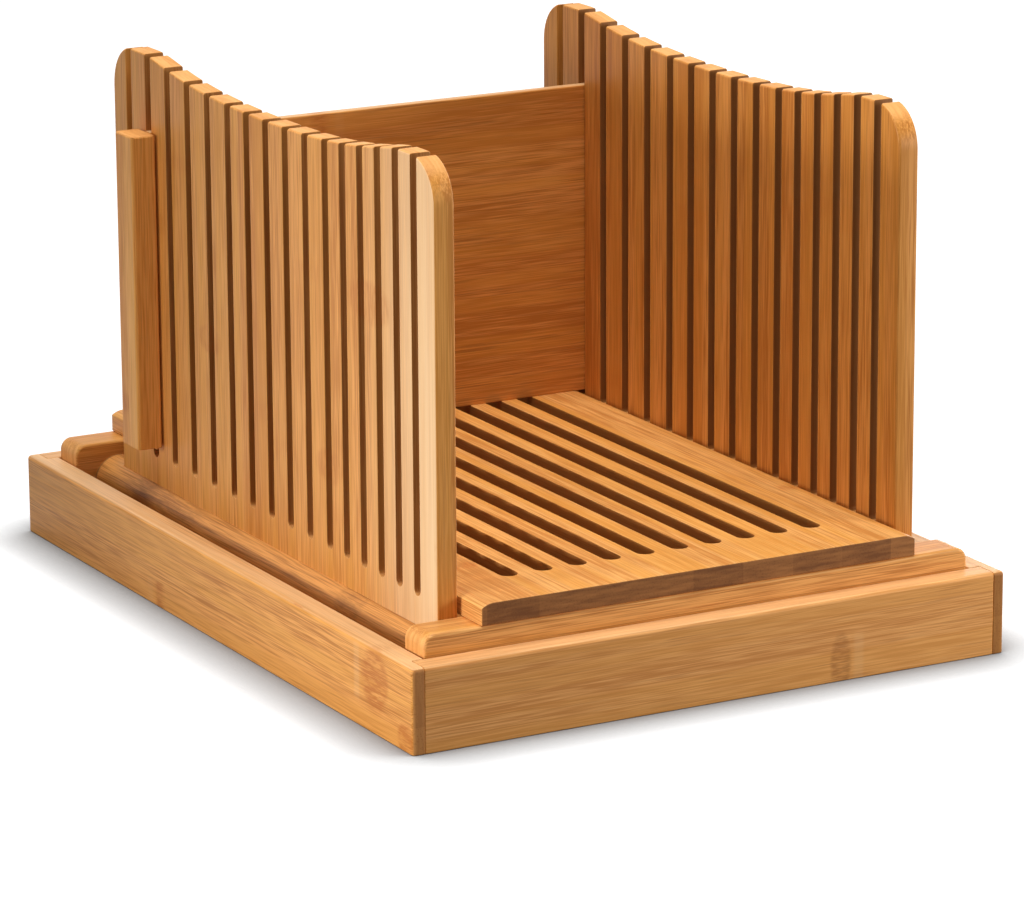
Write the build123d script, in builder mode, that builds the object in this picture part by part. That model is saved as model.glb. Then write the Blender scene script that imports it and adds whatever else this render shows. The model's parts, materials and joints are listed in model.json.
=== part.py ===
from build123d import *
import math
import os

os.makedirs("parts", exist_ok=True)

# Bread slicer of bamboo: a crumb tray, a slotted floor on two crossbars, two comb-like knife
# guides on turning rails, and a lift-out stop that stands in one pair of the guides' slots.
# Millimetres. +X across, +Y from the open front to the back, +Z up.
# The origin is on the bench, under the middle of the tray.

# Crumb tray: four boards with lapped corners, and a thin panel in their grooves
tray_width = 241.0
tray_length = 325.0
tray_height = 30.8
tray_wall = 9.5
lap_depth = 4.75  # end grain of a side board that shows at the front and the back
tray_edge_round = 1.6
tray_inner_round = 0.8
panel_thickness = 4.0
panel_recess = 2.0  # underside of the panel above the bench
panel_groove = 4.0
panel_slack = 0.3  # room for the panel to swell, at each edge

# Base: two crossbars stand in the tray and carry the slotted floor
base_clearance = 0.4  # between the base and the tray's walls
crossbar_depth = 15.0
crossbar_height = 32.6
crossbar_end_round = 4.5
crossbar_edge_chamfer = 0.7
floor_thickness = 8.0
floor_edge_run = 4.8  # the long top edges fall away over this width
floor_edge_drop = 1.6
crumb_slots = 10
crumb_slot_width = 6.8
crumb_slot_pitch = 13.8
crumb_slot_margin = 25.6  # solid board left at each end

# Countersunk screws that hold the floor, up through the crossbars
screws_per_crossbar = 2
screw_spacing = 120.0
screw_radius = 1.9
screw_bite = 5.5  # in the floor board
screw_point = 3.0
screw_head_radius = 3.6
screw_head_angle = 90.0
screw_head_recess = 0.4  # below the crossbar's underside
screw_clearance = 0.05

# Guides: a slotted board standing in a round rail that turns on end pins
rail_side_gap = 7.3  # from a rail to the crossbars' ends
guide_gap = 1.1  # between a guide and the floor board
guide_thickness = 8.0
guide_edge_chamfer = 0.5
guide_rise = 152.4  # top shoulders above the floor
guide_corner = 16.0
guide_shoulder = 9.6
guide_dip = 7.9  # how far the top edge sags between its shoulders
dip_shoulder_pull = 0.14  # how long the dip's curve hugs a shoulder, as a share of its half span
dip_floor_pull = 0.73  # how long it hugs its lowest point
guide_front_margin = 14.8  # front edge to the first slot's centre
guide_rear_margin = 13.6
slot_width = 4.6
slot_below_floor = 3.3  # slots end this far under the floor's top
slice_zones = ((13.4, 5), (15.7, 5), (17.1, 5))  # slice thickness and count, from the front
rail_radius = 10.0
rail_axis_height = 17.6  # above the tray's panel
rail_end_gap = 0.4
rail_chamfer = 1.0
foot_depth = 6.0  # how deep a guide stands in its rail
pin_radius = 3.0
pin_in_rail = 12.0
pin_hole_depth = 9.0  # in a crossbar
pin_end_gap = 0.6
pin_glue_gap = 0.05
pin_running_gap = 0.08

# Stop: a plate through one pair of slots, tenoned into a batten outside each guide
stop_slot_index = -2  # the second pair of slots from the rear
stop_thickness = 4.0
stop_height = 123.2
stop_edge_round = 0.8
batten_gap = 0.6  # between a batten and its guide
batten_thickness = 10.0
batten_width = 15.0
batten_above_floor = 2.2
batten_edge_round = 1.2
batten_top_chamfer = 0.6
tenon_depth = 6.0
tenon_shoulder = 8.0

# Places worked out from the sizes above
tray_x = tray_width / 2
tray_y = tray_length / 2
tray_inner_x = tray_x - tray_wall
tray_inner_y = tray_y - tray_wall
panel_top = panel_recess + panel_thickness
crossbar_x = tray_inner_x - base_clearance
crossbar_outer_y = tray_inner_y - base_clearance
crossbar_mid_y = crossbar_outer_y - crossbar_depth / 2
crossbar_inner_y = crossbar_outer_y - crossbar_depth
crossbar_top = panel_top + crossbar_height
guide_x = crossbar_x - rail_side_gap - rail_radius
floor_x = guide_x - guide_thickness / 2 - guide_gap
floor_top = crossbar_top + floor_thickness
screw_z = panel_top + screw_head_recess
screw_taper = (screw_head_radius - screw_radius) / math.tan(math.radians(screw_head_angle / 2))
screw_xs = [screw_spacing * (n - (screws_per_crossbar - 1) / 2) for n in range(screws_per_crossbar)]
guide_top = floor_top + guide_rise
rail_z = panel_top + rail_axis_height
rail_y = crossbar_inner_y - rail_end_gap
foot_z = rail_z + rail_radius - foot_depth
slot_bottom = floor_top - slot_below_floor
guide_front = -rail_y
slot_ys = [guide_front + guide_front_margin]
for slice_thickness, slice_count in slice_zones:
    for _ in range(slice_count):
        slot_ys.append(slot_ys[-1] + slice_thickness)
guide_rear = slot_ys[-1] + guide_rear_margin
guide_mid_y = (guide_front + guide_rear) / 2
stop_y = slot_ys[stop_slot_index]
stop_top = floor_top + stop_height
batten_x = guide_x + guide_thickness / 2 + batten_gap
batten_bottom = floor_top + batten_above_floor
tenon_bottom = batten_bottom + tenon_shoulder
tenon_top = stop_top - tenon_shoulder

# ---- Crumb tray
for side, label in ((-1, "tray_left_side"), (1, "tray_right_side")):
    outward = Axis((0, 0, 0), (side, 0, 0))
    with BuildPart() as tray_side:
        with BuildSketch():
            with Locations((side * (tray_x - tray_wall / 2), 0)):
                Rectangle(tray_wall, tray_length)
            rabbet_x = side * (tray_x - (lap_depth + tray_wall) / 2)
            rabbet_y = tray_y - tray_wall / 2
            with Locations((rabbet_x, rabbet_y), (rabbet_x, -rabbet_y)):
                Rectangle(tray_wall - lap_depth, tray_wall, mode=Mode.SUBTRACT)
        extrude(amount=tray_height)
        with BuildSketch(Plane.XY.offset(panel_recess)):
            with Locations((side * (tray_inner_x + panel_groove / 2), 0)):
                Rectangle(panel_groove, tray_length)
        extrude(amount=panel_thickness, mode=Mode.SUBTRACT)
        outer_edges = tray_side.faces().sort_by(outward)[-1].edges().sort_by(Axis.Z)
        end_edges = tray_side.faces().sort_by(Axis.Z)[-1].edges().filter_by(Axis.X).sort_by(Axis.Y)
        fillet([*outer_edges[1:], end_edges[0], end_edges[-1]], tray_edge_round)
        long_edges = tray_side.faces().sort_by(Axis.Z)[-1].edges().filter_by(Axis.Y)
        fillet(long_edges.sort_by(outward)[0], tray_inner_round)
    tray_side.part.label = label
    export_step(tray_side.part, f"parts/{label}.step")

for end, label in ((-1, "tray_front"), (1, "tray_back")):
    outward = Axis((0, 0, 0), (0, end, 0))
    with BuildPart() as tray_end:
        with BuildSketch():
            with Locations((0, end * (tray_y - tray_wall / 2))):
                Rectangle(tray_width - 2 * lap_depth, tray_wall)
        extrude(amount=tray_height)
        with BuildSketch(Plane.XY.offset(panel_recess)):
            with Locations((0, end * (tray_inner_y + panel_groove / 2))):
                Rectangle(tray_width - 2 * lap_depth, panel_groove)
        extrude(amount=panel_thickness, mode=Mode.SUBTRACT)
        rim_edges = tray_end.faces().sort_by(Axis.Z)[-1].edges().filter_by(Axis.X).sort_by(outward)
        fillet(rim_edges[-1], tray_edge_round)
        inner_edges = tray_end.faces().sort_by(Axis.Z)[-1].edges().filter_by(Axis.X).sort_by(outward)
        fillet(inner_edges[0], tray_inner_round)
    tray_end.part.label = label
    export_step(tray_end.part, f"parts/{label}.step")

with BuildPart() as tray_bottom:
    with BuildSketch(Plane.XY.offset(panel_recess)):
        Rectangle(
            2 * (tray_inner_x + panel_groove - panel_slack),
            2 * (tray_inner_y + panel_groove - panel_slack),
        )
    extrude(amount=panel_thickness)
tray_bottom.part.label = "tray_bottom"
export_step(tray_bottom.part, "parts/tray_bottom.step")

# ---- Base
for end, label in ((-1, "front_crossbar"), (1, "rear_crossbar")):
    with BuildPart() as crossbar:
        with BuildSketch(Plane.XZ.offset(-end * crossbar_mid_y)):
            with Locations((0, panel_top + crossbar_height / 2)):
                Rectangle(2 * crossbar_x, crossbar_height)
            fillet(vertices().group_by(Axis.Y)[-1], crossbar_end_round)
        extrude(amount=crossbar_depth / 2, both=True)
        top_edges = crossbar.faces().sort_by(Axis.Z)[-1].edges().filter_by(Axis.X)
        chamfer(top_edges, crossbar_edge_chamfer)
        with BuildSketch(Plane.XZ.offset(-end * crossbar_inner_y)):
            with Locations((-guide_x, rail_z), (guide_x, rail_z)):
                Circle(pin_radius + pin_running_gap)
        extrude(amount=-end * pin_hole_depth, mode=Mode.SUBTRACT)
        for x in screw_xs:
            with Locations(Plane((x, end * crossbar_mid_y, screw_z), z_dir=(0, 0, -1))):
                CounterSinkHole(
                    screw_radius + screw_clearance,
                    screw_head_radius + screw_clearance,
                    crossbar_height,
                    screw_head_angle,
                )
    crossbar.part.label = label
    export_step(crossbar.part, f"parts/{label}.step")

with BuildPart() as floor_board:
    with BuildSketch(Plane.XZ):
        with BuildLine():
            edge_start = floor_x - floor_edge_run
            edge_end = floor_top - floor_edge_drop
            Line((-edge_start, floor_top), (edge_start, floor_top))
            TangentArc((edge_start, floor_top), (floor_x, edge_end), tangent=(1, 0))
            Polyline(
                (floor_x, edge_end),
                (floor_x, crossbar_top),
                (-floor_x, crossbar_top),
                (-floor_x, edge_end),
            )
            TangentArc((-edge_start, floor_top), (-floor_x, edge_end), tangent=(-1, 0))
        make_face()
    extrude(amount=crossbar_outer_y, both=True)
    with BuildSketch(Plane.XY.offset(crossbar_top)):
        with GridLocations(crumb_slot_pitch, 0, crumb_slots, 1):
            SlotOverall(2 * (crossbar_outer_y - crumb_slot_margin), crumb_slot_width, rotation=90)
    extrude(amount=floor_thickness, mode=Mode.SUBTRACT)
    with BuildSketch(Plane.XY.offset(crossbar_top)):
        with Locations(*[(x, y) for x in screw_xs for y in (-crossbar_mid_y, crossbar_mid_y)]):
            Circle(screw_radius + screw_clearance)
    extrude(amount=screw_bite, mode=Mode.SUBTRACT)
floor_board.part.label = "floor_board"
export_step(floor_board.part, "parts/floor_board.step")

with BuildPart() as floor_screws:
    for x in screw_xs:
        for y in (-crossbar_mid_y, crossbar_mid_y):
            with BuildSketch(Plane.XZ.offset(-y)):
                with BuildLine():
                    Polyline(
                        (x, screw_z),
                        (x + screw_head_radius, screw_z),
                        (x + screw_radius, screw_z + screw_taper),
                        (x + screw_radius, crossbar_top + screw_bite - screw_point),
                        (x, crossbar_top + screw_bite),
                        close=True,
                    )
                make_face()
            revolve(axis=Axis((x, y, 0), (0, 0, 1)))
floor_screws.part.label = "floor_screws"
export_step(floor_screws.part, "parts/floor_screws.step")

# ---- Guides
for side, name in ((-1, "left"), (1, "right")):
    with BuildPart() as guide:
        with BuildSketch(Plane.YZ.offset(side * guide_x - guide_thickness / 2)):
            dip_front = guide_front + guide_corner + guide_shoulder
            dip_rear = guide_rear - guide_corner - guide_shoulder
            dip_half = (dip_rear - dip_front) / 2
            dip_z = guide_top - guide_dip
            with BuildLine():
                Line((guide_front, foot_z), (guide_front, guide_top - guide_corner))
                TangentArc(
                    (guide_front, guide_top - guide_corner),
                    (guide_front + guide_corner, guide_top),
                    tangent=(0, 1),
                )
                Line((guide_front + guide_corner, guide_top), (dip_front, guide_top))
                Bezier(
                    (dip_front, guide_top),
                    (dip_front + dip_shoulder_pull * dip_half, guide_top),
                    (guide_mid_y - dip_floor_pull * dip_half, dip_z),
                    (guide_mid_y, dip_z),
                )
                Bezier(
                    (guide_mid_y, dip_z),
                    (guide_mid_y + dip_floor_pull * dip_half, dip_z),
                    (dip_rear - dip_shoulder_pull * dip_half, guide_top),
                    (dip_rear, guide_top),
                )
                Line((dip_rear, guide_top), (guide_rear - guide_corner, guide_top))
                TangentArc(
                    (guide_rear - guide_corner, guide_top),
                    (guide_rear, guide_top - guide_corner),
                    tangent=(1, 0),
                )
                Polyline(
                    (guide_rear, guide_top - guide_corner),
                    (guide_rear, foot_z),
                    (guide_front, foot_z),
                )
            make_face()
        extrude(amount=guide_thickness)
        foot_edges = guide.faces().sort_by(Axis.Z)[0].edges()
        outline_edges = guide.faces().filter_by(Axis.X).edges()
        chamfer([edge for edge in outline_edges if edge not in foot_edges], guide_edge_chamfer)
        with BuildSketch(Plane.YZ.offset(side * guide_x - guide_thickness / 2)):
            slot_length = guide_top - slot_bottom + slot_width  # open at the top
            with Locations(*[(y, slot_bottom + slot_length / 2) for y in slot_ys]):
                SlotOverall(slot_length, slot_width, rotation=90)
        extrude(amount=guide_thickness, mode=Mode.SUBTRACT)
    guide.part.label = f"{name}_guide"
    export_step(guide.part, f"parts/{name}_guide.step")

    with BuildPart() as rail:
        with BuildSketch(Plane.XZ):
            with Locations((side * guide_x, rail_z)):
                Circle(rail_radius)
        extrude(amount=rail_y, both=True)
        chamfer(rail.edges().filter_by(GeomType.CIRCLE), rail_chamfer)
        with BuildSketch(Plane.XY.offset(foot_z)):
            with Locations((side * guide_x, guide_mid_y)):
                Rectangle(guide_thickness, guide_rear - guide_front)
        extrude(amount=rail_radius, mode=Mode.SUBTRACT)
        for end in (-1, 1):
            with BuildSketch(Plane.XZ.offset(-end * rail_y)):
                with Locations((side * guide_x, rail_z)):
                    Circle(pin_radius + pin_glue_gap)
            extrude(amount=end * pin_in_rail, mode=Mode.SUBTRACT)
    rail.part.label = f"{name}_rail"
    export_step(rail.part, f"parts/{name}_rail.step")

    for end, where in ((-1, "front"), (1, "rear")):
        pin_start = rail_y - pin_in_rail
        pin_end = crossbar_inner_y + pin_hole_depth - pin_end_gap
        with BuildPart() as pin:
            with BuildSketch(Plane.XZ.offset(-end * pin_start)):
                with Locations((side * guide_x, rail_z)):
                    Circle(pin_radius)
            extrude(amount=-end * (pin_end - pin_start))
        pin.part.label = f"{name}_{where}_pin"
        export_step(pin.part, f"parts/{name}_{where}_pin.step")

# ---- Stop
with BuildPart() as stop_plate:
    with BuildSketch(Plane.XZ.offset(-stop_y)):
        with Locations((0, (floor_top + stop_top) / 2)):
            Rectangle(2 * batten_x, stop_height)
        with Locations((0, (tenon_bottom + tenon_top) / 2)):
            Rectangle(2 * (batten_x + tenon_depth), tenon_top - tenon_bottom)
    extrude(amount=stop_thickness / 2, both=True)
    top_edges = stop_plate.faces().sort_by(Axis.Z)[-1].edges().filter_by(Axis.X)
    fillet(top_edges, stop_edge_round)
stop_plate.part.label = "stop_plate"
export_step(stop_plate.part, "parts/stop_plate.step")

for side, name in ((-1, "left"), (1, "right")):
    with BuildPart() as batten:
        with BuildSketch(Plane.XY.offset(batten_bottom)):
            with Locations((side * (batten_x + batten_thickness / 2), stop_y)):
                RectangleRounded(batten_thickness, batten_width, batten_edge_round)
        extrude(amount=stop_top - batten_bottom)
        chamfer(batten.faces().sort_by(Axis.Z)[-1].edges(), batten_top_chamfer)
        with BuildSketch(Plane.XY.offset(tenon_bottom)):
            with Locations((side * (batten_x + tenon_depth / 2), stop_y)):
                Rectangle(tenon_depth, stop_thickness)
        extrude(amount=tenon_top - tenon_bottom, mode=Mode.SUBTRACT)
    batten.part.label = f"{name}_stop_batten"
    export_step(batten.part, f"parts/{name}_stop_batten.step")
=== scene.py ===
import json
import math

import bmesh
import bpy
from mathutils import Matrix, Vector


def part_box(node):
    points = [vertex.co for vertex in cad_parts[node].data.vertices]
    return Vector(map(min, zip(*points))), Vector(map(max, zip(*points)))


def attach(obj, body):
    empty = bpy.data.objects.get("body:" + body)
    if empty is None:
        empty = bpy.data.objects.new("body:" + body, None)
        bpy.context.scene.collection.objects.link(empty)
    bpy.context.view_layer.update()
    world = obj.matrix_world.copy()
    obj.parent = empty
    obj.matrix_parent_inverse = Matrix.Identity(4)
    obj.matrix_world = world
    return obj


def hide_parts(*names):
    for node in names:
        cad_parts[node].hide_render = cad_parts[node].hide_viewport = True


# Bread slicer of bamboo: crumb tray, slotted floor, two comb-like guides on round rails, lift-out stop
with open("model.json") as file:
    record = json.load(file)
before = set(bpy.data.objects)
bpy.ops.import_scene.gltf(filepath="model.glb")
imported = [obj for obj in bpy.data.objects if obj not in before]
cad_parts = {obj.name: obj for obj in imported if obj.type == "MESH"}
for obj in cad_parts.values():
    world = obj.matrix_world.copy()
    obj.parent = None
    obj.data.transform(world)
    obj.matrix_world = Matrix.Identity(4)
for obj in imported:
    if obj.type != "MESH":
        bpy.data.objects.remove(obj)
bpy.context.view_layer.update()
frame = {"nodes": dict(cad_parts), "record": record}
bodies = frame["record"]["behaviour"]["bodies"]
bodyOf = {node: body for body, nodes in bodies.items() for node in nodes}


class Wire:  # a shader socket that adds and multiplies like a number
    def __init__(self, shader, socket):
        self.shader = shader
        self.socket = socket

    def maths(self, operation, first, second=0.0, clamp=False):
        wired = [term for term in (first, second) if isinstance(term, Wire)]
        if any(term.socket.type == "VECTOR" for term in wired):
            return self.shader.node("ShaderNodeVectorMath", {"operation": operation}, {0: first, 1: second})
        settings = {"operation": operation, "use_clamp": clamp}
        return self.shader.node("ShaderNodeMath", settings, {0: first, 1: second})

    def __add__(self, other):
        return self.maths("ADD", self, other)

    def __radd__(self, other):
        return self.maths("ADD", other, self)

    def __sub__(self, other):
        return self.maths("SUBTRACT", self, other)

    def __rsub__(self, other):
        return self.maths("SUBTRACT", other, self)

    def __mul__(self, other):
        return self.maths("MULTIPLY", self, other)

    def __rmul__(self, other):
        return self.maths("MULTIPLY", other, self)

    def __truediv__(self, other):
        return self.maths("DIVIDE", self, other)

    def __rtruediv__(self, other):
        return self.maths("DIVIDE", other, self)

    def floor(self):
        return self.maths("FLOOR", self)

    def size(self):
        return self.maths("ABSOLUTE", self)

    def clamped(self):
        return self.maths("ADD", self, clamp=True)

    def most(self, other):
        return self.maths("MAXIMUM", self, other)

    def ease(self, low, high):  # 0 below low, 1 above high, smooth between
        span = {"Value": self, "From Min": low, "From Max": high}
        return self.shader.node("ShaderNodeMapRange", {"interpolation_type": "SMOOTHSTEP"}, span)

    def band(self, half, core):  # 1 around zero, 0 beyond the half width; core is the share that stays 1
        return 1.0 - self.size().ease(core * half, half)

    def split(self):
        return [self.shader.node("ShaderNodeSeparateXYZ", {}, {0: self}, output) for output in range(3)]


class Shader:  # the nodes of one material, or of the world
    def __init__(self, owner):
        owner.use_nodes = True
        self.owner = owner
        self.tree = owner.node_tree
        self.tree.nodes.clear()

    def node(self, kind, settings, inputs, output=0):
        made = self.tree.nodes.new(kind)
        for key, value in settings.items():
            setattr(made, key, value)
        for key, value in inputs.items():
            socket = made.inputs[key]
            if isinstance(value, Wire):
                self.tree.links.new(value.socket, socket)
            elif hasattr(socket.default_value, "__len__") and not hasattr(value, "__len__"):
                socket.default_value = (value, value, value)
            else:
                socket.default_value = value
        return Wire(self, made.outputs[output])

    def place(self, kind="Object"):
        return self.node("ShaderNodeTexCoord", {}, {}, kind)

    def vector(self, x, y, z):
        return self.node("ShaderNodeCombineXYZ", {}, {0: x, 1: y, 2: z})

    def noise(self, place, detail=2.0, roughness=0.5):
        inputs = {"Vector": place, "Scale": 1.0, "Detail": detail, "Roughness": roughness}
        return self.node("ShaderNodeTexNoise", {"noise_dimensions": "3D"}, inputs)

    def dice(self, place):  # three random numbers for each whole-numbered place
        settings = {"noise_dimensions": "3D"}
        return self.node("ShaderNodeTexWhiteNoise", settings, {"Vector": place}, "Color").split()

    def mix(self, factor, first, second):
        return self.node("ShaderNodeMix", {"data_type": "RGBA"}, {0: factor, 6: first, 7: second}, 2)

    def seenDirectly(self):  # 1 for what the camera, a gloss or a glass sees
        kinds = ("Is Camera Ray", "Is Glossy Ray", "Is Transmission Ray")
        camera, gloss, glass = (self.node("ShaderNodeLightPath", {}, {}, kind) for kind in kinds)
        return camera.most(gloss).most(glass)

    def finishWith(self, kind, inputs):
        last = self.node(kind, {}, inputs)
        place = "World" if isinstance(self.owner, bpy.types.World) else "Material"
        out = self.tree.nodes.new("ShaderNodeOutput" + place)
        self.tree.links.new(last.socket, out.inputs["Surface"])
        return self.owner


def rgb(red, green, blue):
    return (red, green, blue, 1.0)


# Bamboo. Lengths are in metres, and a pair of numbers is where something starts and where it is complete.
bambooFinish = {
    "wanderWidth": 0.02,
    "wanderLength": 0.07,
    "hairWidth": 0.00045,
    "hairLength": 0.020,
    "hairShare": 1.1,  # against the fibres
    "fibreWidth": 0.0010,
    "fibreLength": 0.050,
    "streakWidth": 0.0028,
    "streakLength": 0.10,
    "driftWidth": 0.0075,
    "driftLength": 0.4,
    "cloudSize": 0.05,
    "cloudShare": 0.7,
    "goldBand": (0.44, 0.60),
    "warmBand": (0.4, 1.0),
    "warmShare": 0.4,
    "lineFibres": (0.54, 0.68),
    "lineStreaks": (0.38, 0.58),
    # painted sheen on the outermost strips
    "paleBody": 0.75,
    "paleStreak": 0.8,
    # painted highlight on upward faces
    "rimBody": 0.9,
    "rimStreak": 2.0,
    "seamWidth": 0.0002,
    "knuckleGap": 0.31,
    "knuckleScatter": 7.0,
    "knuckleWander": 0.012,
    "knuckleChance": (0.35, 0.75),
    "knuckleLength": 0.0055,
    "knuckleCore": 0.2,
    "knuckleLine": 0.0085,  # from a knuckle to the pale line beside it
    "lineHalf": 0.0030,
    "lineCore": 0.3,
    "lineShare": 0.2,
    "strayLine": 0.3,
    "knotEdge": (0.5, 1.3),
    "knotCore": 0.7,
    "mottleWidth": 0.0008,
    "mottleLength": 0.0060,
    "mottleBand": (0.36, 0.62),
    "mottleFloor": 0.2,
    "mottleShare": 0.8,
    "layerWidth": 0.0128,
    "layerDepth": 0.0016,
    "layerShare": 1.8,
    "endStripShare": 0.5,
    "poreSpacing": 0.0009,
    "poreStretch": 0.05,
    "poreBand": (0.15, 0.45),
    # painted shade in slots and gaps
    "sawnEdge": 0.0005,
    "ringHalf": 0.0030,
    "ringCore": 0.4,
    "endTurn": (0.55, 0.85),  # how far a face turns from the strips before it is end grain
    "broadTurn": (0.6, 0.9),
    "wallTurn": (0.5, 0.9),
    "footTurn": (0.3, 0.6),
    "topTurn": (0.5, 0.95),
    "fibreDark": rgb(0.30, 0.092, 0.016),
    # the colour of painted shade in slots and gaps
    "sawnDark": rgb(0.25, 0.098, 0.026),
    # pale bamboo lines, and the colour of painted sheen and highlights
    "pale": rgb(0.88, 0.60, 0.33),
    "streakRough": 0.15,
    "lineRough": 0.08,
    "endRough": 0.12,
    "lineSink": 0.6,
    "fibreRise": 0.25,
    "bumpStrength": 0.3,
    "bumpDistance": 0.0001,
    "refraction": 1.46,
    "specular": 0.18,
    "coat": 0.02,
    "coatRoughness": 0.30,
}


def woodLook(**changes):  # one board's own bamboo
    plain = {
        "axes": "yzx",  # along the grain, across the strips, through the board
        "seed": 0.0,
        "stripWidth": 0.02,
        "stripShift": 0.0,
        "stripContrast": 0.6,
        "plyDepth": 0.006,
        "plyMiddle": 0.0005,
        "wander": 0.0006,
        "streakStrength": 1.8,
        "fibreStrength": 2.6,
        "lineStrength": 0.35,
        "goldShare": 0.45,
        "seamStrength": 0.2,
        "knuckleStrength": 0.6,
        "strayKnuckles": 1.0,
        "knots": (),  # along, across, half length, half width, pale line further along
        "paleFrom": None,  # where a painted sheen begins on the outermost strips
        "paleRun": 1.0,
        # how much painted highlight the upward faces get
        "rimPale": 0.0,
        "sawn": None,  # painted slot shade: the axis of the slots, and where they begin and end
        "sawnDepth": 0.75,
        "slotFoot": (0.072, 0.074),
        "ring": None,  # painted shadow in a gap, so far along the grain
        "poreStrength": 0.25,
        "roughness": 0.42,
        "light": rgb(0.82, 0.382, 0.105),
        "dark": rgb(0.54, 0.198, 0.038),
        "warm": rgb(0.62, 0.212, 0.038),
        "gold": rgb(0.74, 0.330, 0.058),
        "knot": rgb(0.46, 0.125, 0.020),
        "endLight": rgb(0.84, 0.42, 0.135),
        "endDark": rgb(0.64, 0.27, 0.068),
    }
    return {**plain, **changes}


def bambooMaterial(name, look):
    s = Shader(bpy.data.materials.new(name))
    b = bambooFinish
    coordinates = s.place().split()
    normals = s.place("Normal").split()
    order = ["xyz".index(letter) for letter in look["axes"]]
    along, across, depth = (coordinates[axis] for axis in order)
    endFace = normals[order[0]].size().ease(*b["endTurn"])
    seed = look["seed"]

    wide, long = b["wanderWidth"], b["wanderLength"]
    wander = s.noise(s.vector(along / long, across / wide, depth / wide + seed)) - 0.5
    acrossWavy = across + wander * look["wander"]
    stripPlace = acrossWavy / look["stripWidth"] + look["stripShift"]
    strip = stripPlace.floor()
    ply = ((depth - look["plyMiddle"]) / look["plyDepth"]).floor()
    chance = s.dice(s.vector(strip, ply, seed + 0.5))

    def lengthwise(width, length, detail, roughness=0.5):  # noise drawn out along the grain
        place = s.vector(acrossWavy / width, depth / width, along / length + seed)
        return s.noise(place, detail, roughness)

    # tone: strip by strip, long streaks, fine fibres, golden and pinkish bands
    hairs = lengthwise(b["hairWidth"], b["hairLength"], 1.0)
    fibres = lengthwise(b["fibreWidth"], b["fibreLength"], 2.0, 0.6)
    streaks = lengthwise(b["streakWidth"], b["streakLength"], 3.0, 0.55)
    drift = lengthwise(b["driftWidth"], b["driftLength"], 1.0)
    cloud = b["cloudSize"]
    clouds = s.noise(s.vector(across / cloud, depth / cloud, along / (2 * cloud) + seed))
    tone = 0.5 + (chance[0] - 0.5) * look["stripContrast"] + (streaks - 0.5) * look["streakStrength"]
    tone = tone + (fibres - 0.5) * look["fibreStrength"]
    tone = tone + (hairs - 0.5) * (look["fibreStrength"] * b["hairShare"])
    tone = tone + (clouds - 0.5) * b["cloudShare"]
    colour = s.mix(tone.clamped(), look["dark"], look["light"])
    colour = s.mix(drift.ease(*b["goldBand"]) * look["goldShare"], colour, look["gold"])
    warmth = chance[1].ease(*b["warmBand"]) * (look["stripContrast"] * b["warmShare"])
    colour = s.mix(warmth, colour, look["warm"])
    fibreLines = fibres.ease(*b["lineFibres"]) * streaks.ease(*b["lineStreaks"])
    colour = s.mix(fibreLines * look["lineStrength"], colour, b["fibreDark"])

    if look["paleFrom"] is not None:  # painted sheen: the broad faces of the outermost strips are paler
        reach = ((across - look["paleFrom"]) / look["paleRun"]).clamped()
        broadFace = normals[order[2]].size().ease(*b["broadTurn"])
        streaky = b["paleBody"] + (streaks - 0.5) * b["paleStreak"]
        colour = s.mix(reach * broadFace * streaky, colour, b["pale"])
    if look["sawn"] is not None:  # painted shade on the walls and feet of the slots inside the board
        letter, low, high = look["sawn"]
        cutPlace = coordinates["xyz".index(letter)]
        inside = cutPlace.ease(low, low + b["sawnEdge"]) * (1.0 - cutPlace.ease(high - b["sawnEdge"], high))
        wall = normals["xyz".index(letter)].size().ease(*b["wallTurn"])
        foot = normals[2].size().ease(*b["footTurn"]) * (1.0 - coordinates[2].ease(*look["slotFoot"]))
        colour = s.mix(wall.most(foot) * inside * look["sawnDepth"], colour, b["sawnDark"])
    if look["ring"] is not None:  # painted shadow in the gap at a turned end
        colour = s.mix((along - look["ring"]).band(b["ringHalf"], b["ringCore"]), colour, b["sawnDark"])
    # painted highlight: upward faces are paler, in streaks
    rubbed = (b["rimBody"] + (streaks - 0.5) * b["rimStreak"]).clamped()
    colour = s.mix(normals[2].ease(*b["topTurn"]) * rubbed * look["rimPale"], colour, b["pale"])

    # knuckles: one now and then along each strip, and the ones in the look
    spacing = along / b["knuckleGap"] + chance[2] * b["knuckleScatter"] + wander * b["knuckleWander"]
    offCentre = (spacing - spacing.floor() - 0.5) * b["knuckleGap"]
    often = chance[1].ease(*b["knuckleChance"]) * look["strayKnuckles"]
    knuckle = offCentre.band(b["knuckleLength"], b["knuckleCore"]) * often
    paleLine = (offCentre - b["knuckleLine"]).band(b["lineHalf"], b["lineCore"]) * often * b["strayLine"]
    for middle, side, halfLength, halfWidth, lineAway in look["knots"]:
        lengthways = (along - middle) / halfLength
        crossways = (across - side) / halfWidth
        outward = lengthways * lengthways + crossways * crossways
        knuckle = knuckle.most(1.0 - outward.ease(*b["knotEdge"]))
        beside = (along - middle - lineAway).band(b["lineHalf"], b["lineCore"])
        paleLine = paleLine.most(beside * crossways.band(1.0, b["knotCore"]))
    dot, dash = b["mottleWidth"], b["mottleLength"]
    mottle = s.noise(s.vector(across / dot, depth / dot, along / dash + seed), 2.0, 0.6)
    mottle = b["mottleFloor"] + mottle.ease(*b["mottleBand"]) * b["mottleShare"]
    colour = s.mix(knuckle * mottle * look["knuckleStrength"], colour, look["knot"])
    colour = s.mix(paleLine * (look["knuckleStrength"] * b["lineShare"]), colour, b["pale"])

    # glue seams between strips
    fromSeam = (0.5 - (stripPlace - strip - 0.5).size()) * look["stripWidth"]
    seamLine = (1.0 - fromSeam.ease(0.0, b["seamWidth"])) * look["seamStrength"]
    colour = s.mix(seamLine, colour, b["fibreDark"])

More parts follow.
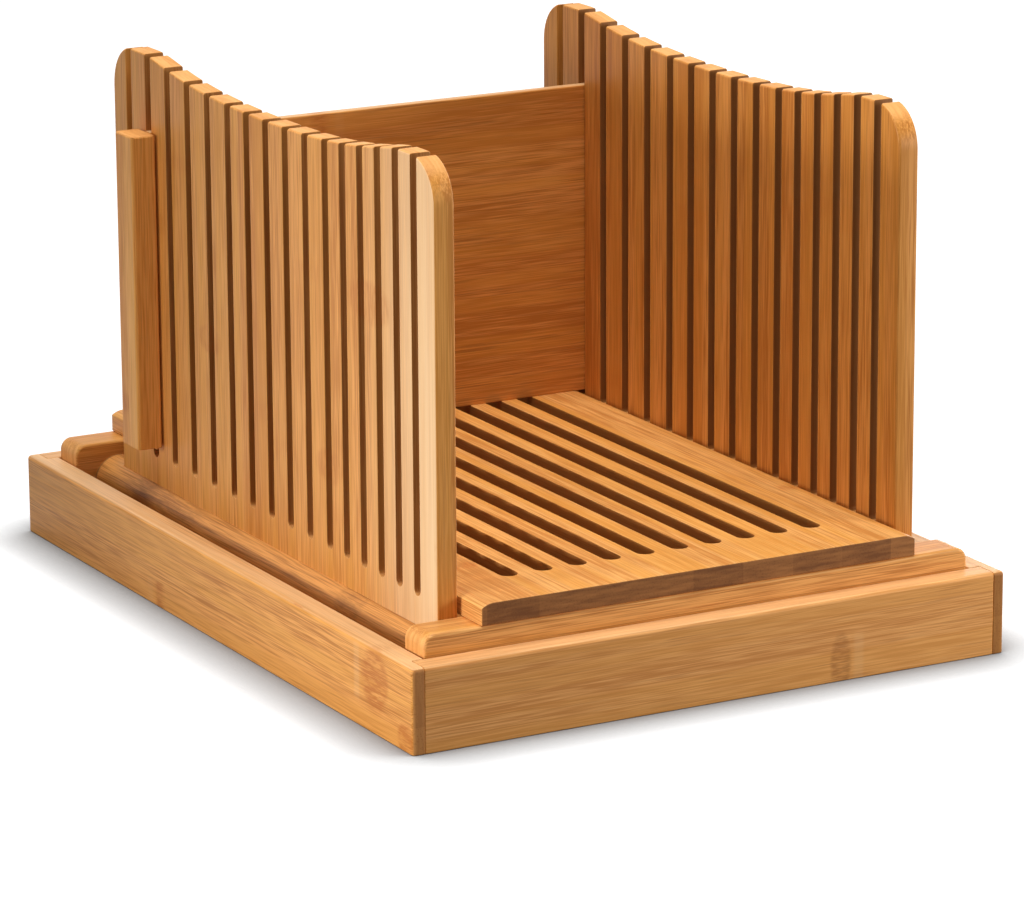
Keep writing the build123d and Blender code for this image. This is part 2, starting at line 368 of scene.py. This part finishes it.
    # end grain: thin layers and the pores of the fibre bundles
    layers = s.noise(s.vector(across / b["layerWidth"], depth / b["layerDepth"], seed))
    cells = {"Vector": s.vector(across, depth, along * b["poreStretch"]), "Scale": 1 / b["poreSpacing"]}
    pores = 1.0 - s.node("ShaderNodeTexVoronoi", {}, cells, "Distance").ease(*b["poreBand"])
    endTone = 0.5 + (layers - 0.5) * b["layerShare"] + (chance[0] - 0.5) * b["endStripShare"]
    endTone = (endTone - pores * look["poreStrength"]).clamped()
    colour = s.mix(endFace, colour, s.mix(endTone, look["endDark"], look["endLight"]))

    roughness = look["roughness"] + (streaks - 0.5) * b["streakRough"]
    roughness = roughness + fibreLines * b["lineRough"] + endFace * b["endRough"]
    height = (1.0 - fibreLines * b["lineSink"]) * (1.0 - seamLine) + fibres * b["fibreRise"]
    relief = {"Strength": b["bumpStrength"], "Distance": b["bumpDistance"], "Height": height}
    return s.finishWith("ShaderNodeBsdfPrincipled", {
        "Base Color": colour,
        "Roughness": roughness,
        "IOR": b["refraction"],
        "Specular IOR Level": b["specular"],
        "Coat Weight": b["coat"],
        "Coat Roughness": b["coatRoughness"],
        "Normal": s.node("ShaderNodeBump", {}, relief),
    })


# Edges. Angles are in degrees.
sanding = {
    "weldWithin": 2e-6,
    "flatWithin": 0.6,
    "sharpFrom": 28.0,
    "steps": 2,
    "faceWeight": 100,
}


def eased(node, width, material):  # the node's form with its sharp edges rubbed round
    mesh = bpy.data.meshes.new(node + "_wood")
    work = bmesh.new()
    work.from_mesh(frame["nodes"][node].data)
    bmesh.ops.remove_doubles(work, verts=work.verts, dist=sanding["weldWithin"])
    flat = math.radians(sanding["flatWithin"])
    bmesh.ops.dissolve_limit(work, angle_limit=flat, verts=work.verts, edges=work.edges)
    sharpAngle = math.radians(sanding["sharpFrom"])
    sharp = [
        edge for edge in work.edges
        if len(edge.link_faces) == 2 and edge.calc_face_angle(0.0) > sharpAngle
    ]
    bmesh.ops.bevel(
        work, geom=sharp, offset=width, offset_type="OFFSET", segments=sanding["steps"], profile=0.5,
        affect="EDGES", clamp_overlap=False, miter_outer="ARC",
    )
    for face in work.faces:
        face.smooth = True
    work.to_mesh(mesh)
    work.free()
    piece = bpy.data.objects.new(node + "_wood", mesh)
    bpy.context.scene.collection.objects.link(piece)
    mesh.materials.append(material)
    weighted = piece.modifiers.new("flatFaces", "WEIGHTED_NORMAL")
    weighted.weight = sanding["faceWeight"]
    weighted.keep_sharp = False
    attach(piece, bodyOf[node])
    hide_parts(node)


def refinished(node, material):  # a small turned piece keeps its own form
    frame["nodes"][node].data.materials.clear()
    frame["nodes"][node].data.materials.append(material)


def middleAcross(node):  # the glued plies of an upright board lie either side of its middle
    low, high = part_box(node)
    return (low[0] + high[0]) / 2


# Crumb tray
trayLook = {
    "edge": 0.0004,
    "side": woodLook(
        axes="yzx", seed=1.3, stripWidth=0.0205, stripShift=0.52,
        # painted highlight on the top rim
        poreStrength=0.5, lineStrength=0.45, rimPale=0.6, knuckleStrength=0.70,
        knots=(
            (-0.1345, 0.0195, 0.0100, 0.0115, 0.0137),
            (-0.1570, 0.0045, 0.0060, 0.0060, -0.0080),
        ),
        light=rgb(0.84, 0.385, 0.098), dark=rgb(0.50, 0.180, 0.028), knot=rgb(0.46, 0.125, 0.014),
        endLight=rgb(0.54, 0.243, 0.072), endDark=rgb(0.39, 0.157, 0.044),
    ),
    "rightSide": {
        "seed": 6.2,
        "stripShift": 0.31,
        "knots": (),
        "endLight": rgb(0.425, 0.180, 0.044),
        "endDark": rgb(0.305, 0.116, 0.027),
    },
    "ends": woodLook(
        axes="xzy", seed=4.7, stripWidth=0.0205, stripShift=0.52,
        # painted highlight on the top rim
        lineStrength=0.4, rimPale=0.3, strayKnuckles=0.0,
        knots=((0.051, 0.0070, 0.0044, 0.0110, 0.0075),),
        light=rgb(0.88, 0.450, 0.155), dark=rgb(0.58, 0.245, 0.068), gold=rgb(0.80, 0.375, 0.090),
        knot=rgb(0.34, 0.120, 0.030),
    ),
    "panel": woodLook(axes="yxz", seed=9.1, stripWidth=0.02, knuckleStrength=0.5),
}
for name, own in (("left", {}), ("right", trayLook["rightSide"])):
    sideBamboo = bambooMaterial(f"tray {name} side bamboo", {**trayLook["side"], **own})
    eased(f"tray_{name}_side", trayLook["edge"], sideBamboo)
endBamboo = bambooMaterial("tray end bamboo", trayLook["ends"])
for node in ("tray_front", "tray_back"):
    eased(node, trayLook["edge"], endBamboo)
eased("tray_bottom", trayLook["edge"], bambooMaterial("tray panel bamboo", trayLook["panel"]))
print("crumb tray done")

# Base
baseLook = {
    "edge": 0.0004,
    "crossbar": woodLook(
        axes="xzy", seed=12.4, stripWidth=0.0054, stripShift=0.2, plyDepth=0.005,
        seamStrength=0.5, knuckleStrength=0.35,
        light=rgb(0.84, 0.425, 0.130), dark=rgb(0.54, 0.220, 0.055),
    ),
    "floor": woodLook(
        axes="yxz", seed=17.9, stripWidth=0.0205, stripShift=0.2, plyDepth=0.2, plyMiddle=-0.1,
        # painted shade on the walls of the crumb slots
        stripContrast=0.4, poreStrength=0.2, sawn=("x", -0.0875, 0.0875), slotFoot=(-0.002, -0.001),
        light=rgb(0.82, 0.42, 0.130), dark=rgb(0.56, 0.225, 0.052),
        # very dark end grain, partly painted shade
        endLight=rgb(0.36, 0.150, 0.045), endDark=rgb(0.17, 0.062, 0.018),
    ),
}
crossbarBamboo = bambooMaterial("crossbar bamboo", baseLook["crossbar"])
for node in ("front_crossbar", "rear_crossbar"):
    eased(node, baseLook["edge"], crossbarBamboo)
eased("floor_board", baseLook["edge"], bambooMaterial("floor bamboo", baseLook["floor"]))
print("base done")

# Guides
guideLook = {
    "edge": 0.0003,
    "left": woodLook(
        axes="zyx", seed=21.0, stripWidth=0.0213, stripShift=0.35, plyMiddle=middleAcross("left_guide"),
        knots=(
            (0.0998, 0.0413, 0.0055, 0.0100, 1.0),
            (0.1403, -0.0885, 0.0080, 0.0170, 1.0),
            (0.0740, -0.0560, 0.0065, 0.0110, 1.0),
        ),
        # painted sheen on the broad faces of the front strips
        knuckleStrength=0.4, strayKnuckles=0.5, paleFrom=-0.080, paleRun=-0.05,
        # painted shade in the slots
        sawn=("y", -0.1252, 0.1105), sawnDepth=0.55,
    ),
    "right": woodLook(
        axes="zyx", seed=27.0, stripWidth=0.0187, stripShift=0.1, plyMiddle=middleAcross("right_guide"),
        # darker wood than the left guide, partly painted shade from the left guide, and deeper painted
        # shade in the slots
        knuckleStrength=0.4, strayKnuckles=0.4, sawn=("y", -0.1252, 0.1105), sawnDepth=0.85,
        light=rgb(0.69, 0.300, 0.070), dark=rgb(0.43, 0.148, 0.024), gold=rgb(0.62, 0.260, 0.042),
    ),
    "rail": woodLook(
        axes="yzx", seed=31.0, stripWidth=0.0095, stripShift=0.3, plyDepth=0.01,
        # painted shadow in the gap at the rail's rear end
        plyMiddle=middleAcross("left_rail"), lineStrength=0.6, knuckleStrength=0.4, ring=0.1372,
        knots=((0.0780, 0.0300, 0.0340, 0.0100, 1.0), (-0.0778, 0.0300, 0.0100, 0.0100, 1.0)),
        light=rgb(0.74, 0.330, 0.088), dark=rgb(0.42, 0.160, 0.038), knot=rgb(0.26, 0.095, 0.024),
    ),
}
railBamboo = bambooMaterial("rail bamboo", guideLook["rail"])
for name in ("left", "right"):
    eased(name + "_guide", guideLook["edge"], bambooMaterial(name + " guide bamboo", guideLook[name]))
    eased(name + "_rail", guideLook["edge"], railBamboo)
    for end in ("front", "rear"):
        refinished(f"{name}_{end}_pin", railBamboo)
print("guides done")

# Stop
stopLook = {
    "edge": 0.0003,
    "plate": woodLook(
        axes="xzy", seed=37.0, stripWidth=0.0215, stripShift=0.1, plyDepth=0.2, plyMiddle=-0.1,
        # painted highlight on the top edge
        wander=0.0004, lineStrength=0.6, rimPale=0.6,
        light=rgb(0.80, 0.370, 0.098), dark=rgb(0.52, 0.195, 0.038),
    ),
    "batten": woodLook(
        axes="zyx", seed=41.0, stripWidth=0.0078, stripShift=0.2, plyDepth=0.0049, plyMiddle=0.0,
        light=rgb(0.90, 0.45, 0.125), dark=rgb(0.64, 0.250, 0.052),
    ),
}
eased("stop_plate", stopLook["edge"], bambooMaterial("stop plate bamboo", stopLook["plate"]))
battenBamboo = bambooMaterial("batten bamboo", stopLook["batten"])
for node in ("left_stop_batten", "right_stop_batten"):
    eased(node, stopLook["edge"], battenBamboo)
print("stop done")

# Screws
screwLook = {
    "bright": rgb(0.62, 0.61, 0.58),
    "worn": rgb(0.42, 0.41, 0.39),
    "scuffSize": 0.0006,
    "polish": 0.28,
    "scuffRough": 0.25,
}
steel = Shader(bpy.data.materials.new("zinc steel"))
scuffs = steel.noise(steel.place() / screwLook["scuffSize"], 4.0, 0.6)
refinished("floor_screws", steel.finishWith("ShaderNodeBsdfPrincipled", {
    "Base Color": steel.mix(scuffs, screwLook["bright"], screwLook["worn"]),
    "Metallic": 1.0,
    "Roughness": screwLook["polish"] + scuffs * screwLook["scuffRough"],
}))
print("screws done")

# Studio
studio = {
    "paperRadius": 9.0,
    "paperSides": 96,
    "paperDrop": 0.0001,
    "paperShade": rgb(0.26, 0.26, 0.26),
    "paperFleck": rgb(0.25, 0.25, 0.25),
    "fleckScale": 400.0,
    "paperRoughness": 0.9,
    "contactReach": 0.026,
    "contactSamples": 8,
    "nearLift": 0.92,
    "farLift": 1.0,
    "nearReach": 0.26,
    "farReach": 0.55,
    "worldLight": 0.15,
    "keyPlace": (-2.25, 0.00, 0.38),
    "keyAim": (-0.10, -0.26, 0.08),
    "keyRadius": 0.20,
    "keyCone": 23.0,
    "keyPower": 186.0,
    "topPlace": (-0.06, -0.10, 1.35),
    "topAim": (-0.02, 0.0, 0.05),
    "topSize": 0.8,
    "topPower": 17.5,
    "fillPlace": (0.62, -0.62, 0.26),
    "fillAim": (0.02, -0.12, 0.08),
    "fillSize": 0.3,
    "fillPower": 4.0,
    "backPlace": (1.05, 0.85, 0.16),
    "backAim": (0.05, 0.12, 0.08),
    "backSize": 0.5,
    "backPower": 3.5,
}
disc = bmesh.new()
bmesh.ops.create_circle(disc, cap_ends=True, segments=studio["paperSides"], radius=studio["paperRadius"])
paperMesh = bpy.data.meshes.new("studio_paper")
disc.to_mesh(paperMesh)
disc.free()
studioPaper = bpy.data.objects.new("studio_paper", paperMesh)
studioPaper.location.z = -studio["paperDrop"]
bpy.context.scene.collection.objects.link(studioPaper)

paper = Shader(bpy.data.materials.new("studio paper"))
reach = paper.node("ShaderNodeVectorMath", {"operation": "LENGTH"}, {0: paper.place()}, "Value")
far = reach.ease(studio["nearReach"], studio["farReach"])
contact = {"Distance": studio["contactReach"]}
openness = paper.node("ShaderNodeAmbientOcclusion", {"samples": studio["contactSamples"]}, contact, "AO")
lift = studio["nearLift"] * openness * openness * openness + (studio["farLift"] - studio["nearLift"]) * far
glow = lift * paper.seenDirectly()  # dimmed by occlusion: a painted contact shadow where the tray meets the paper
flecks = paper.noise(paper.place() * studio["fleckScale"])
paperMesh.materials.append(paper.finishWith("ShaderNodeBsdfPrincipled", {
    "Base Color": paper.mix(flecks, studio["paperShade"], studio["paperFleck"]),
    "Roughness": studio["paperRoughness"],
    "Specular IOR Level": 0.0,
    "Emission Color": paper.vector(glow, glow, glow),
    "Emission Strength": 1.0,
}))

sky = Shader(bpy.data.worlds.new("studio"))
skyLight = studio["worldLight"] + (1.0 - studio["worldLight"]) * sky.seenDirectly()
skyInputs = {"Color": rgb(1.0, 1.0, 1.0), "Strength": skyLight}
bpy.context.scene.world = sky.finishWith("ShaderNodeBackground", skyInputs)


def studioLamp(name, kind, settings):
    lamp = bpy.data.lights.new(name, kind)
    for key, value in settings.items():
        setattr(lamp, key, value)
    holder = bpy.data.objects.new(name, lamp)
    place = Vector(studio[name + "Place"])
    holder.location = place
    holder.rotation_euler = (Vector(studio[name + "Aim"]) - place).to_track_quat("-Z", "Y").to_euler()
    holder.visible_camera = False
    bpy.context.scene.collection.objects.link(holder)


studioLamp("key", "SPOT", {
    "energy": studio["keyPower"],
    "shadow_soft_size": studio["keyRadius"],
    "spot_size": math.radians(studio["keyCone"]),
    "spot_blend": 1.0,
})
for name in ("top", "fill", "back"):
    settings = {"shape": "DISK", "size": studio[name + "Size"], "energy": studio[name + "Power"]}
    studioLamp(name, "AREA", settings)
bpy.context.scene.view_settings.view_transform = "Standard"
print("studio done")

# Camera. Angles are in degrees.
cameraView = {
    "place": (-0.8863, -1.6333, 0.5500),
    "yaw": 28.6853,
    "pitch": 14.9897,
    "roll": -0.3190,
    "lens": 180.41,
    "sensor": 36.0,
}
yaw, pitch, roll = (math.radians(cameraView[key]) for key in ("yaw", "pitch", "roll"))
forward = Vector((math.sin(yaw) * math.cos(pitch), math.cos(yaw) * math.cos(pitch), -math.sin(pitch)))
level = Vector((math.cos(yaw), -math.sin(yaw), 0.0))
upright = level.cross(forward)
right = level * math.cos(roll) + upright * math.sin(roll)
up = upright * math.cos(roll) - level * math.sin(roll)
lens = bpy.data.cameras.new("camera")
lens.lens = cameraView["lens"]
lens.sensor_width = cameraView["sensor"]
camera = bpy.data.objects.new("camera", lens)
turn = Matrix((right, up, -forward)).transposed().to_4x4()
camera.matrix_world = Matrix.Translation(cameraView["place"]) @ turn
bpy.context.scene.collection.objects.link(camera)
bpy.context.scene.camera = camera
print("camera done")
